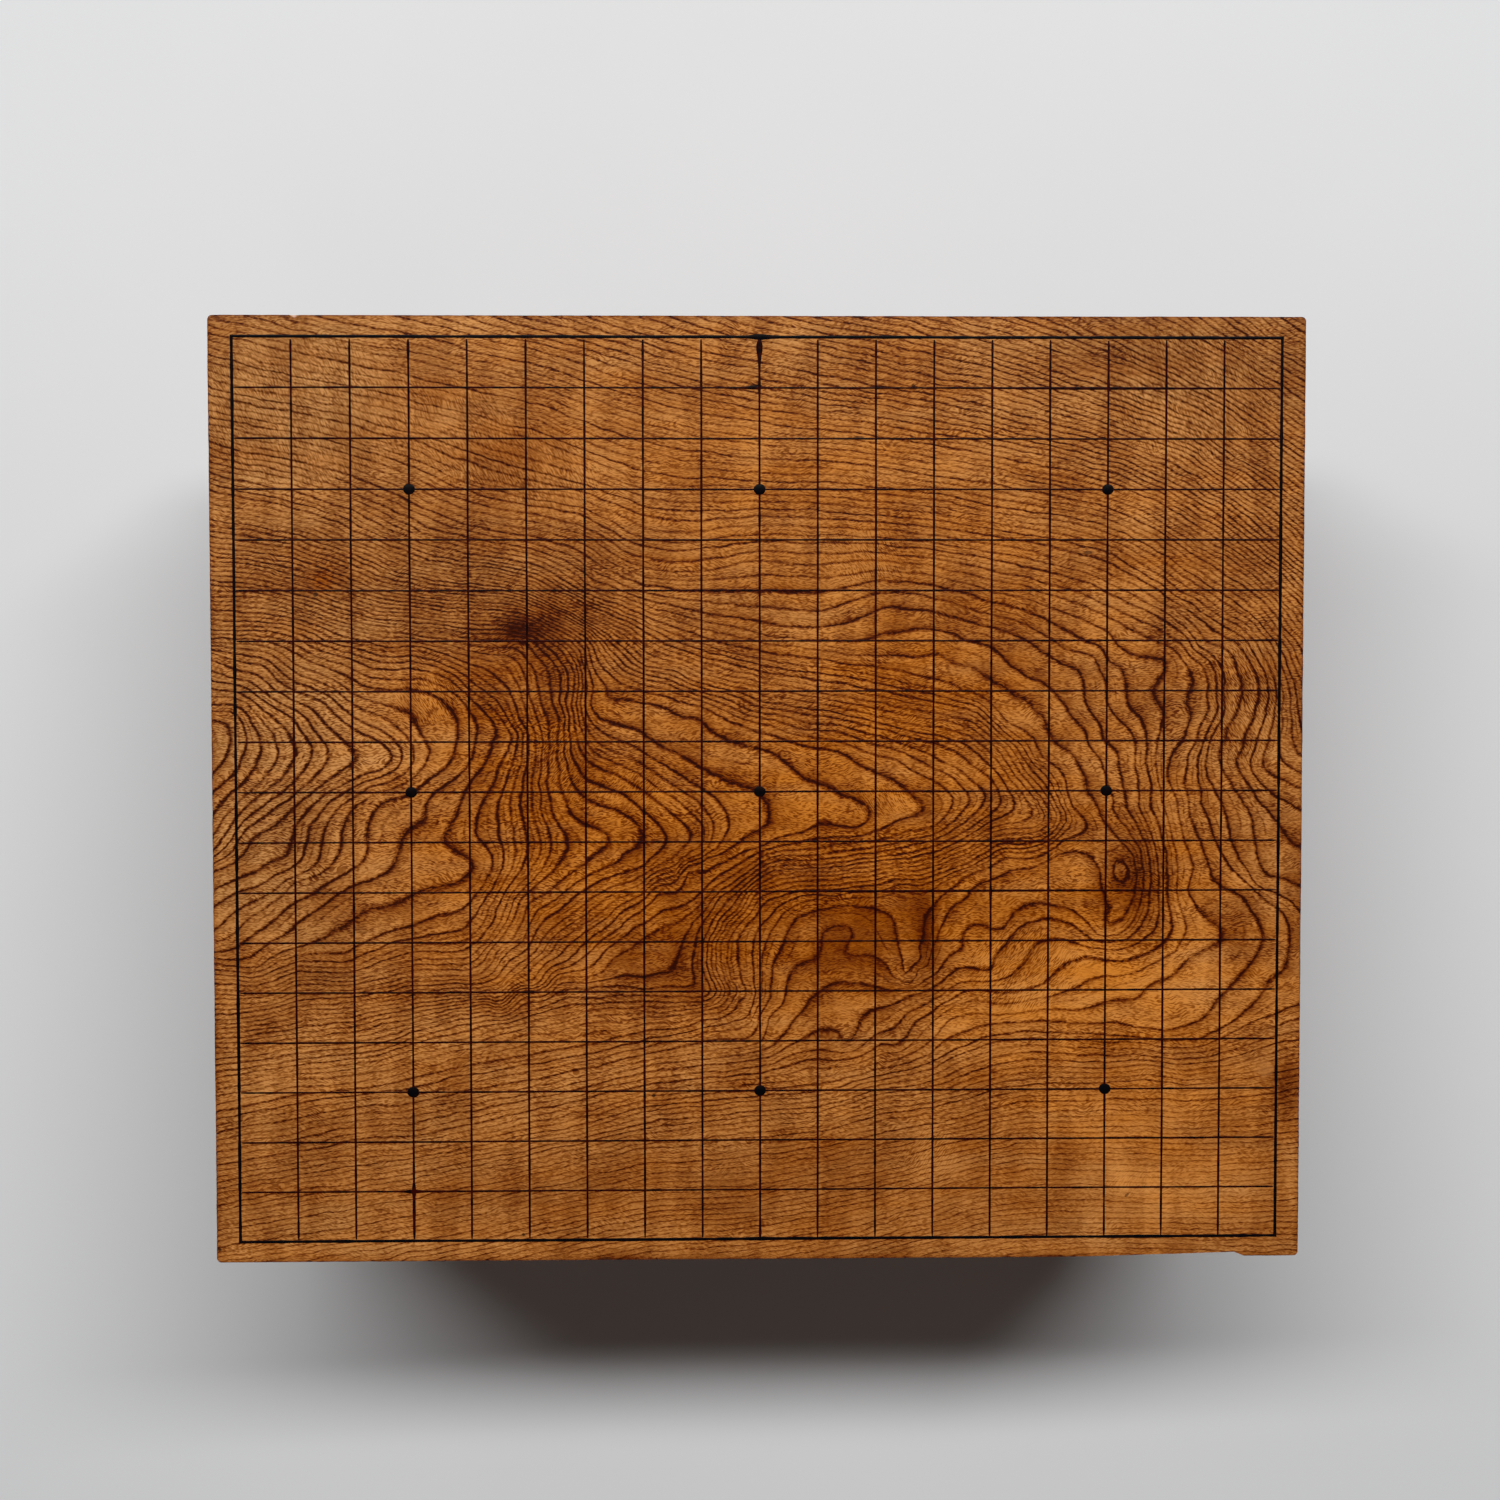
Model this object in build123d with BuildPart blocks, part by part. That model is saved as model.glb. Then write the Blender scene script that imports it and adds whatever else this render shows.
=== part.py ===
from build123d import *
from math import cos, radians, sin
import os

# Footed go board: one thick block of keyaki wood on four carved legs, with the playing
# grid and its nine star points laid on the top in black lacquer.
#
# Frame: +Z up, origin on the floor below the middle of the board, +X along the long side,
# +Y away from the player who sits at the front. All sizes are in millimetres.

# One sun, a tenth of a shaku. The maker sets out the board in this unit.
SUN = 30.303

# Block
BLOCK_LENGTH = 15 * SUN
BLOCK_WIDTH = 13 * SUN
BLOCK_THICKNESS = 4 * SUN
LEG_HEIGHT = 3.7 * SUN
BLOCK_TOP = LEG_HEIGHT + BLOCK_THICKNESS
CORNER_RADIUS = 2.0
TOP_ARRIS = 0.8
BOTTOM_ARRIS = 2.0

# Playing grid
LINES_EACH_WAY = 19
PITCH_ALONG = 24.13
PITCH_ACROSS = 20.90
LACQUER_HEIGHT = 0.12
BORDER_LINE = 1.0
INNER_LINE = 0.55
BORDER_GAP = 0.35
STAR_DIAMETER = 4.6
STAR_STEP = 6
GRID_LENGTH = (LINES_EACH_WAY - 1) * PITCH_ALONG
GRID_WIDTH = (LINES_EACH_WAY - 1) * PITCH_ACROSS

# Sounding hollow cut into the underside, with the low pyramid that is left in its middle
HOLLOW_LENGTH = 3.6 * SUN
HOLLOW_WIDTH = 3.1 * SUN
HOLLOW_DEPTH = 0.8 * SUN
HOLLOW_TAPER = 14.0
PYRAMID_LENGTH = 1.9 * SUN
PYRAMID_WIDTH = 1.5 * SUN
PYRAMID_HEIGHT = 0.42 * SUN
PYRAMID_TIP = 3.0

# Legs
LEG_INSET = 66.0
LEG_RIDGES = 8
TENON_SIDE = 1.2 * SUN
TENON_LENGTH = 1.1 * SUN
TENON_CHAMFER = 2.5
MORTISE_SIDE = TENON_SIDE + 0.3
MORTISE_DEPTH = TENON_LENGTH + 3.0
FOOT_CHAMFER = 0.8

# The leg's sections: height as a share of LEG_HEIGHT, radius over the ridges, and how far
# the hollows between the ridges lie inside that radius, as a share of it.
LEG_SECTIONS = [
    (0.00, 33.0, 0.085),
    (0.06, 32.6, 0.087),
    (0.13, 29.0, 0.092),
    (0.21, 26.8, 0.097),
    (0.31, 28.2, 0.103),
    (0.45, 36.0, 0.110),
    (0.61, 46.0, 0.116),
    (0.78, 51.6, 0.118),
    (0.91, 49.6, 0.112),
    (1.00, 43.0, 0.100),
]

# Where a sliver has split off the front edge near the right corner, and the small nick in
# the back edge near the left corner
FLAKE_START = 128.0
FLAKE_DEEPEST = 200.0
FLAKE_END = 204.5
FLAKE_DEPTH = 2.0
FLAKE_DROP = 24.0
NICK_CENTRE = -191.5
NICK_LENGTH = 4.0
NICK_DEPTH = 1.6
NICK_DROP = 2.4

FRONT = -BLOCK_WIDTH / 2
BACK = BLOCK_WIDTH / 2
LEG_X = BLOCK_LENGTH / 2 - LEG_INSET
LEG_Y = BLOCK_WIDTH / 2 - LEG_INSET
CUT_MARGIN = 1.0

os.makedirs("parts", exist_ok=True)


def save(piece, name):
    """Labels a finished piece and writes it under that name."""
    piece.part.label = name
    export_step(piece.part, f"parts/{name}.step")
    print(f"{name}: {len(piece.part.solids())} solid(s), {piece.part.volume / 1000:.2f} cm3")


def ridged_section(radius, hollow):
    """Draws a leg's cross section: sharp ridges on a circle, with a hollow arc between each pair."""
    step = 360 / LEG_RIDGES
    valley = radius * (1 - hollow)
    for ridge in range(LEG_RIDGES):
        at, middle, end = ((ridge + share) * step for share in (0, 0.5, 1))
        ThreePointArc(
            (radius * cos(radians(at)), radius * sin(radians(at))),
            (valley * cos(radians(middle)), valley * sin(radians(middle))),
            (radius * cos(radians(end)), radius * sin(radians(end))),
        )


def carved_leg(centre_x, centre_y):
    """A leg shaped like a gardenia bud, with the square tenon that plugs into the block."""
    with BuildPart() as leg:
        for share, radius, hollow in LEG_SECTIONS:
            with BuildSketch(Plane((centre_x, centre_y, share * LEG_HEIGHT))):
                with BuildLine():
                    ridged_section(radius, hollow)
                make_face()
        loft()
        chamfer(leg.faces().sort_by(Axis.Z)[0].edges(), FOOT_CHAMFER)
        with BuildSketch(Plane((centre_x, centre_y, LEG_HEIGHT))):
            Rectangle(TENON_SIDE, TENON_SIDE)
        extrude(amount=TENON_LENGTH)
        chamfer(leg.faces().sort_by(Axis.Z)[-1].edges(), TENON_CHAMFER)
    return leg


def line_places(pitch):
    """Distances of the lines from the middle of the grid, the two border lines left out."""
    middle = (LINES_EACH_WAY - 1) / 2
    return [(line - middle) * pitch for line in range(1, LINES_EACH_WAY - 1)]


# The sliver missing from the front edge: a long thin triangle seen from above, deepest near
# its right end, that runs out down the front face.
with BuildPart() as flake:
    with BuildSketch(Plane.XY.offset(BLOCK_TOP + CUT_MARGIN)):
        with BuildLine():
            Polyline(
                (FLAKE_START, FRONT - CUT_MARGIN),
                (FLAKE_START, FRONT),
                (FLAKE_DEEPEST, FRONT + FLAKE_DEPTH),
                (FLAKE_END, FRONT),
                (FLAKE_END, FRONT - CUT_MARGIN),
                close=True,
            )
        make_face()
    extrude(amount=-(FLAKE_DROP + CUT_MARGIN))
    with BuildSketch(Plane.YZ.offset(FLAKE_START)):
        with BuildLine():
            Polyline(
                (FRONT - CUT_MARGIN, BLOCK_TOP - FLAKE_DROP),
                (FRONT, BLOCK_TOP - FLAKE_DROP),
                (FRONT + FLAKE_DEPTH, BLOCK_TOP),
                (FRONT + FLAKE_DEPTH, BLOCK_TOP + CUT_MARGIN),
                (FRONT - CUT_MARGIN, BLOCK_TOP + CUT_MARGIN),
                close=True,
            )
        make_face()
    extrude(amount=FLAKE_END - FLAKE_START, mode=Mode.INTERSECT)

# The nick in the back edge: a short notch that slopes off the top face.
with BuildPart() as nick:
    with BuildSketch(Plane.YZ.offset(NICK_CENTRE - NICK_LENGTH / 2)):
        with BuildLine():
            Polyline(
                (BACK - NICK_DEPTH, BLOCK_TOP),
                (BACK, BLOCK_TOP - NICK_DROP),
                (BACK + CUT_MARGIN, BLOCK_TOP - NICK_DROP),
                (BACK + CUT_MARGIN, BLOCK_TOP + CUT_MARGIN),
                (BACK - NICK_DEPTH, BLOCK_TOP + CUT_MARGIN),
                close=True,
            )
        make_face()
    extrude(amount=NICK_LENGTH)

# Block of solid wood, with four square mortises and the sounding hollow in its underside
with BuildPart() as board_block:
    with BuildSketch(Plane.XY.offset(LEG_HEIGHT)):
        Rectangle(BLOCK_LENGTH, BLOCK_WIDTH)
    extrude(amount=BLOCK_THICKNESS)
    fillet(board_block.edges().filter_by(Axis.Z), CORNER_RADIUS)
    fillet(board_block.faces().sort_by(Axis.Z)[-1].edges(), TOP_ARRIS)
    chamfer(board_block.faces().sort_by(Axis.Z)[0].edges(), BOTTOM_ARRIS)
    with BuildSketch(Plane.XY.offset(LEG_HEIGHT)):
        with GridLocations(2 * LEG_X, 2 * LEG_Y, 2, 2):
            Rectangle(MORTISE_SIDE, MORTISE_SIDE)
    extrude(amount=MORTISE_DEPTH, mode=Mode.SUBTRACT)
    with BuildSketch(Plane.XY.offset(LEG_HEIGHT)):
        Rectangle(HOLLOW_LENGTH, HOLLOW_WIDTH)
    extrude(amount=HOLLOW_DEPTH, taper=HOLLOW_TAPER, mode=Mode.SUBTRACT)
    with BuildSketch(Plane.XY.offset(LEG_HEIGHT + HOLLOW_DEPTH)):
        Rectangle(PYRAMID_LENGTH, PYRAMID_WIDTH)
    with BuildSketch(Plane.XY.offset(LEG_HEIGHT + HOLLOW_DEPTH - PYRAMID_HEIGHT)):
        Rectangle(PYRAMID_TIP, PYRAMID_TIP)
    loft()
    add(flake.part, mode=Mode.SUBTRACT)
    add(nick.part, mode=Mode.SUBTRACT)
save(board_block, "board_block")

# Lacquer border: one closed rectangle of the four outermost lines
with BuildPart() as border_line:
    with BuildSketch(Plane.XY.offset(BLOCK_TOP)):
        Rectangle(GRID_LENGTH + BORDER_LINE, GRID_WIDTH + BORDER_LINE)
        Rectangle(GRID_LENGTH - BORDER_LINE, GRID_WIDTH - BORDER_LINE, mode=Mode.SUBTRACT)
    extrude(amount=LACQUER_HEIGHT)
save(border_line, "border_line")

# Inner lines: seventeen each way, fused where they cross, stopping just short of the border.
# A star point covers each crossing where one is laid, so the lines end at its rim.
STAR_SPACING = (STAR_STEP * PITCH_ALONG, STAR_STEP * PITCH_ACROSS)
with BuildPart() as grid_lines:
    with BuildSketch(Plane.XY.offset(BLOCK_TOP)):
        line_length = GRID_LENGTH - BORDER_LINE - 2 * BORDER_GAP
        line_width = GRID_WIDTH - BORDER_LINE - 2 * BORDER_GAP
        with Locations([(x, 0) for x in line_places(PITCH_ALONG)]):
            Rectangle(INNER_LINE, line_width)
        with Locations([(0, y) for y in line_places(PITCH_ACROSS)]):
            Rectangle(line_length, INNER_LINE)
        with GridLocations(*STAR_SPACING, 3, 3):
            Circle(STAR_DIAMETER / 2, mode=Mode.SUBTRACT)
    extrude(amount=LACQUER_HEIGHT)
save(grid_lines, "grid_lines")

# Nine star points
with BuildPart() as star_points:
    with BuildSketch(Plane.XY.offset(BLOCK_TOP)):
        with GridLocations(*STAR_SPACING, 3, 3):
            Circle(STAR_DIAMETER / 2)
    extrude(amount=LACQUER_HEIGHT)
save(star_points, "star_points")

# Legs, each drawn in place under its own corner
for depth_name, depth_sign in (("front", -1), ("back", 1)):
    for side_name, side_sign in (("left", -1), ("right", 1)):
        leg = carved_leg(side_sign * LEG_X, depth_sign * LEG_Y)
        save(leg, f"leg_{depth_name}_{side_name}")
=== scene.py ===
from functools import reduce
from math import cos, pi, radians, sin, sqrt

import bmesh
import bpy
import numpy as np
from mathutils import Matrix, Vector, noise


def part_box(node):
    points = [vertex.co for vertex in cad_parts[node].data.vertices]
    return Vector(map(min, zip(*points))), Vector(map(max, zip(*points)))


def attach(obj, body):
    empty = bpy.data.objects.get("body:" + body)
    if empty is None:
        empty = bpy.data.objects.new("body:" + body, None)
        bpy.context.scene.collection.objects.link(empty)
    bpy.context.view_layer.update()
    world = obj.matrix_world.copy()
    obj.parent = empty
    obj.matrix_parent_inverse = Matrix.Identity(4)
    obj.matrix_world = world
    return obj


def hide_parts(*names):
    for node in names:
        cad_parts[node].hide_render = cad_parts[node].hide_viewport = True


# Weiqi board: the looks of a footed board of keyaki wood, seen from above as photographed.
# Lengths are metres unless a name or comment says mm. +X runs along the long side, +Y to the back.

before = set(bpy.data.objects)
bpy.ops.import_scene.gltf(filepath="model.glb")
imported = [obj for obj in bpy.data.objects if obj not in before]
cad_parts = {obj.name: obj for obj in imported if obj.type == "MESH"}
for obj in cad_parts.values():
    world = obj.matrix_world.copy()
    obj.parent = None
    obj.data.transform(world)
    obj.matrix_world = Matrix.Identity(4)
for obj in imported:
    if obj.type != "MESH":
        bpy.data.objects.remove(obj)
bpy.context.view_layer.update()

MM = 0.001
TOUCHING = 1e-6

# Places taken from the frame
BLOCK_LOW, BLOCK_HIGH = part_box("board_block")
TOP = BLOCK_HIGH.z
HALF_LENGTH = BLOCK_HIGH.x
HALF_WIDTH = BLOCK_HIGH.y
BORDER_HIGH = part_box("border_line")[1]

# Lacquer grid
LINES_EACH_WAY = 19
BORDER_WIDTH = 1.0 * MM
GRID_HALF_LENGTH = BORDER_HIGH.x - BORDER_WIDTH / 2
GRID_HALF_WIDTH = BORDER_HIGH.y - BORDER_WIDTH / 2
PITCH_ALONG = 2 * GRID_HALF_LENGTH / (LINES_EACH_WAY - 1)
PITCH_ACROSS = 2 * GRID_HALF_WIDTH / (LINES_EACH_WAY - 1)
LACQUER_HEIGHT = BORDER_HIGH.z - TOP
BORDER_BEAD = 1.25 * MM
VERTICAL_WIDTH = 0.9 * MM
HORIZONTAL_WIDTH = 0.8 * MM
VERTICAL_GAP = 0.45 * MM
HORIZONTAL_GAP = 0.15 * MM
STAR_RADIUS = 2.45 * MM
STAR_STEP = 6
STAR_PLACES = [(column * STAR_STEP * PITCH_ALONG, row * STAR_STEP * PITCH_ACROSS)
               for row in (1, 0, -1) for column in (-1, 0, 1)]
STAR_TOP_SHARE = 0.82
STAR_STRETCH = (1.04, 0.96)
STAR_SUNK = 0.01 * MM

# Each line is a bead of lacquer, drawn by hand: it swells over two lengths, drifts off its
# course and narrows towards its ends
BEAD_STEP = 2.2 * MM
BEAD_SPREAD = 0.22
BEAD_SWELLS = ((7 * MM, 0), (1.6 * MM, 9))
BEAD_DRIFT = 0.1 * MM
BEAD_DRIFT_LENGTH = 55 * MM
BEAD_TIP = 0.6
BEAD_TAPER = 1.2 * MM
BEAD_CROWN = 0.7
BEAD_SUNK = 0.02 * MM
LINE_SLIP = 0.5 * MM

# Blots on the lacquer: pixel of the middle, half width and half height in pixels, extra width in mm
BLOTS = [
    (759, 352, 9, 12, 1.9), (752, 392, 9, 5, 0.8), (410, 346, 6, 9, 0.5), (414, 1215, 8, 26, 0.45),
    (414, 1190, 9, 5, 0.9), (1100, 392, 90, 5, 0.45), (1270, 644, 6, 4, 0.7), (1195, 742, 6, 4, 0.6),
    (960, 889, 130, 5, 0.3), (1285, 1243, 8, 5, 0.5), (759, 1235, 8, 8, 0.5), (1284, 560, 6, 200, 0.25),
]

# Legs, carved with eight ridges: share of the height, radius over the ridges in mm and how far
# the hollows between them go in, as a share of that radius
LEG_RIDGES = 8
LEG_SECTIONS = [
    (0, 33, 0.085), (0.06, 32.6, 0.087), (0.13, 29, 0.092), (0.21, 26.8, 0.097), (0.31, 28.2, 0.103),
    (0.45, 36, 0.11), (0.61, 46, 0.116), (0.78, 51.6, 0.118), (0.91, 49.6, 0.112), (1, 43, 0.1),
]
FOOT_CHAMFER = 0.8 * MM
FOOT_HALF = 30 * MM
TENON_SIDE = 36.36 * MM
TENON_CHAMFER = 2.5 * MM
TENON_SUNK = 2 * MM
LEG_PITH = 64 * MM
LEG_PITH_LEAN = 0.1
LEG_RING_THICKNESS = 3.0 * MM
LEG_FACETS = 96
# Which way from its axis each leg's pith lies, in radians
LEG_TURNS = {"leg_front_left": 0.6, "leg_front_right": 2.5, "leg_back_left": 4.4, "leg_back_right": 6.3}

# Camera, as the photograph was taken
LENS = 60
CAMERA_PLACE = (-0.0283, 0.0648, 1.2723)
CAMERA_TURN = (radians(-2.614), radians(-1.338), radians(-0.056))

# Pixels of the photograph where the star points, grid corners and block corners are, row by row
# from the back and from left to right
STAR_PIXELS = (
    ((410, 490), (758, 494), (1102, 494)),
    ((415, 792), (759, 790), (1098, 789)),
    ((414, 1091), (760, 1086), (1103, 1086)),
)
GRID_CORNER_PIXELS = (((230, 333), (1285, 340)), ((243, 1244), (1278, 1238)))
BLOCK_CORNER_PIXELS = (((204, 309), (1309, 316)), ((219, 1266), (1301, 1258)))

# The wood's growth rings on the top face: each one's number, counted outwards from the small oval
# at the left edge, and the pixels that it passes through. Of two stretches, one follows the other.
RINGS = {
    2: [(215, 708), (237, 712), (248, 745), (243, 765), (215, 792)],
    5: [(215, 688), (262, 706), (286, 726), (299, 749), (298, 760), (272, 788), (235, 822), (216, 845)],
    8: [(215, 660), (238, 669), (279, 688), (326, 718), (359, 752), (352, 768), (305, 801), (255, 838),
        (216, 868)],
    9: [(217, 652), (266, 666), (326, 703), (384, 743), (394, 755), (383, 770), (325, 797), (309, 812),
        (297, 835), (285, 856), (262, 868), (225, 882)],
    10: [(322, 815), (311, 840), (303, 860), (283, 873), (250, 888)],
    11: [(336, 814), (325, 838), (318, 861), (298, 876), (270, 893), (235, 912)],
    12: [(238, 642), (299, 663), (359, 694), (401, 710), (425, 736), (432, 749), (428, 764), (385, 791),
        (362, 806), (349, 822), (345, 842), (337, 860), (299, 884), (266, 910), (244, 927)],
    13: [(214, 637), (299, 653), (356, 679), (411, 689), (448, 706), (459, 718), (458, 743), (448, 768),
        (420, 790), (382, 808), (373, 825), (366, 860), (350, 872), (310, 897), (280, 918), (250, 938),
        (216, 952)],
    14: [(356, 668), (411, 681), (463, 698), (474, 714), (478, 745), (470, 765), (437, 793), (430, 806),
        (431, 816), (407, 835), (398, 862), (355, 885), (328, 903), (300, 922), (270, 941), (240, 957)],
    15: [(299, 638), (356, 658), (430, 672), (474, 700), (493, 721), (494, 743), (475, 778), (462, 810),
        (447, 837), (452, 846), (475, 862), (470, 874), (425, 887), (375, 908), (335, 930), (300, 948),
        (260, 965)],
    16: [(415, 661), (472, 689), (500, 713), (514, 736), (513, 746), (495, 785), (481, 835), (494, 865),
        (487, 882), (445, 913), (395, 930), (345, 952)],
    19: [(472, 666), (497, 678), (513, 697), (523, 721), (531, 746), (524, 800), (531, 842), (516, 878),
        (492, 925), (470, 945)],
    23: [(214, 589), (299, 602), (356, 621), (415, 631), (472, 640), (508, 641), (527, 646), (540, 659),
        (551, 690), (560, 725), (560, 770), (572, 812), (607, 835), (609, 840), (588, 857), (560, 879),
        (528, 905), (500, 945), (470, 975)],
    24: [(641, 830), (627, 850), (590, 871), (560, 893)],
    25: [(665, 838), (657, 855), (646, 864), (605, 878), (560, 909), (535, 935)],
    26: [(500, 627), (530, 633), (548, 642), (560, 650), (570, 662), (577, 675), (575, 710), (580, 745),
        (620, 775), (670, 812), (690, 838), (672, 856), (646, 872), (600, 891), (560, 920), (530, 955),
        (495, 985)],
    28: [(712, 834), (702, 852), (680, 866), (646, 885), (600, 911), (560, 937), (535, 963), (510, 985)],
    30: [(587, 650), (590, 670), (592, 705), (612, 722), (655, 743), (700, 767), (730, 781), (757, 790),
        (766, 811), (750, 831), (732, 845), (707, 857), (685, 867), (657, 885), (620, 911), (590, 936),
        (565, 960), (535, 984), (500, 1000)],
    31: [(592, 655), (607, 686), (637, 702), (683, 719), (706, 730), (740, 745), (777, 757), (803, 777),
        (838, 794), (855, 800), (863, 808), (851, 825), (815, 820), (797, 831), (760, 846), (732, 857),
        (707, 870), (672, 892), (646, 907), (620, 925)],
    32: [(596, 650), (611, 673), (637, 689), (668, 697), (700, 706), (740, 727), (780, 740), (838, 753),
        (872, 772), (903, 791), (917, 804), (893, 820), (850, 834), (822, 835), (790, 840), (760, 851),
        (727, 868), (703, 888), (675, 908), (646, 920), (615, 940)],
    33: [(760, 725), (830, 739), (885, 757), (925, 778), (948, 800), (928, 824), (900, 831), (840, 841),
        (760, 856), (725, 877), (700, 902), (670, 922), (646, 932), (613, 955), (606, 968), (598, 974),
        (560, 977), (530, 991), (490, 1006)],
    35: [(760, 866), (720, 893), (700, 925), (694, 945), (692, 968), (680, 983), (640, 986), (600, 986),
        (560, 991), (520, 1005), (480, 1016)],
    36: [(646, 670), (700, 689), (760, 708), (810, 717), (860, 726), (905, 737), (942, 750), (968, 766),
        (985, 780), (994, 795), (990, 806), (948, 834), (890, 852), (850, 857), (810, 860), (760, 870),
        (740, 884), (712, 920), (701, 945), (702, 965), (708, 985), (700, 991), (650, 992), (600, 995),
        (530, 1008), (465, 1022), (415, 1036), (300, 1058), (216, 1070)],
    38: [(760, 878), (735, 905), (715, 937), (711, 955), (714, 975), (720, 988), (705, 1000), (650, 1003),
        (600, 1007), (540, 1018), (465, 1037)],
    40: [(700, 668), (760, 684), (800, 691), (850, 699), (900, 707), (940, 714), (968, 724), (985, 738),
        (1000, 752), (1028, 790), (1045, 818), (1025, 832), (965, 850), (915, 866), (850, 873), (800, 877),
        (760, 886), (740, 912), (722, 940), (720, 960), (725, 980), (729, 990), (705, 1006), (650, 1012),
        (600, 1018), (530, 1034), (465, 1048), (415, 1062), (300, 1080), (216, 1096)],
    42: [(905, 876), (845, 884), (800, 887), (760, 903), (740, 930), (737, 950), (738, 965), (745, 990),
        (738, 998), (705, 1014), (650, 1026), (600, 1038), (540, 1052), (470, 1064)],
    43: [(900, 880), (845, 889), (800, 892), (770, 910), (752, 940), (750, 960), (754, 990), (750, 1008),
        (735, 1016), (705, 1022)],
    45: [(760, 654), (800, 660), (850, 667), (900, 673), (930, 680), (960, 690), (985, 706), (1000, 723),
        (1035, 755), (1062, 800), (1079, 825), (1055, 840), (1000, 855), (965, 872), (940, 888), (927, 903),
        (921, 930), (917, 955), (908, 970), (899, 955), (893, 930), (884, 912), (868, 904), (845, 902),
        (820, 905), (800, 912), (787, 928), (778, 950), (770, 965), (769, 985), (760, 1010), (756, 1025),
        (745, 1033), (705, 1036), (650, 1049), (600, 1062), (530, 1078), (465, 1090), (415, 1100),
        (300, 1118), (216, 1132)],
    46: [(930, 655), (968, 668), (1000, 688), (1019, 700), (1035, 719), (1061, 751), (1080, 780),
        (1088, 800), (1098, 822), (1112, 838), (1124, 852), (1128, 872), (1126, 895), (1118, 912),
        (1104, 905), (1097, 888), (1095, 870), (1088, 857), (1070, 850), (1040, 858), (1000, 871),
        (960, 895), (935, 925), (925, 950), (914, 967), (885, 962), (850, 952), (812, 953), (795, 960),
        (787, 970), (784, 985), (782, 997), (765, 1020), (750, 1040), (703, 1047)],
    47: [(935, 633), (970, 646), (1000, 663), (1019, 678), (1042, 690), (1077, 732), (1096, 765),
        (770, 1043), (785, 1028), (800, 1008), (822, 985), (835, 977), (850, 979), (880, 983), (905, 982),
        (933, 969), (955, 945), (957, 930), (965, 921), (980, 919), (998, 922), (1014, 904), (1027, 900),
        (1050, 904), (1070, 912), (1085, 925), (1100, 933), (1118, 928), (1132, 905), (1135, 870),
        (1130, 845), (1115, 822), (1105, 800)],
    48: [(940, 618), (986, 630), (1020, 645), (1042, 658), (1064, 668), (1075, 684), (1078, 706),
        (1096, 737), (1112, 770), (790, 1041), (812, 1028), (838, 1028), (846, 1037), (853, 1033),
        (862, 1008), (895, 997), (935, 980), (950, 967), (985, 966), (990, 955), (1010, 927), (1040, 916),
        (1060, 920), (1080, 931), (1100, 938), (1120, 936), (1132, 927), (1140, 910), (1144, 885),
        (1140, 850), (1118, 800)],
    49: [(1050, 648), (1086, 658), (1096, 674), (1099, 694), (1118, 726), (1128, 742)],
    50: [(1082, 646), (1099, 662), (1112, 668), (1120, 703), (1138, 732), (1143, 780), (1141, 800),
        (1158, 850), (1160, 885), (1167, 925), (1162, 938), (1130, 955), (1085, 954), (1065, 957),
        (1042, 977), (1020, 986), (985, 988), (930, 1005), (915, 1015), (906, 1028), (897, 1039),
        (880, 1039)],
    51: [(986, 595), (1041, 609), (1080, 625), (1099, 633), (1109, 646), (1128, 657), (1156, 661),
        (1146, 690), (1149, 703), (1155, 712), (1154, 726), (1148, 750)],
    52: [(1160, 646), (1174, 658), (1182, 674), (1178, 702), (1184, 716), (1168, 748), (1160, 775),
        (1169, 800), (1176, 840), (1186, 868), (1181, 885), (1190, 905), (1214, 925), (1217, 937),
        (1185, 957), (1148, 981), (1105, 998), (1070, 1006), (1035, 1005), (970, 1008), (945, 1015),
        (912, 1045)],
    53: [(1179, 649), (1194, 665), (1201, 684), (1202, 710), (1192, 738), (1182, 765), (1182, 800),
        (1192, 840), (1222, 885), (1252, 915), (1258, 932), (1243, 965), (1215, 1000), (1182, 1024),
        (1160, 1027), (1130, 1023), (1095, 1020), (1000, 1019), (965, 1027), (920, 1052)],
    54: [(1192, 800), (1205, 835), (1247, 885), (1275, 908), (1285, 942), (1265, 980), (1236, 1015),
        (1195, 1036), (1160, 1037), (1100, 1030), (1000, 1027)],
    55: [(1192, 646), (1210, 662), (1216, 690), (1205, 738), (1198, 764), (1205, 783), (1214, 806),
        (1228, 845), (1252, 882), (1299, 916)],
    56: [(1221, 649), (1233, 678), (1236, 697), (1226, 722), (1214, 762), (1224, 783), (1240, 806)],
    57: [(1240, 655), (1254, 690), (1248, 715), (1237, 745), (1230, 761), (1237, 777), (1253, 800),
        (1299, 850)],
    59: [(1262, 745), (1256, 761), (1272, 777), (1299, 789)],
}

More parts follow.
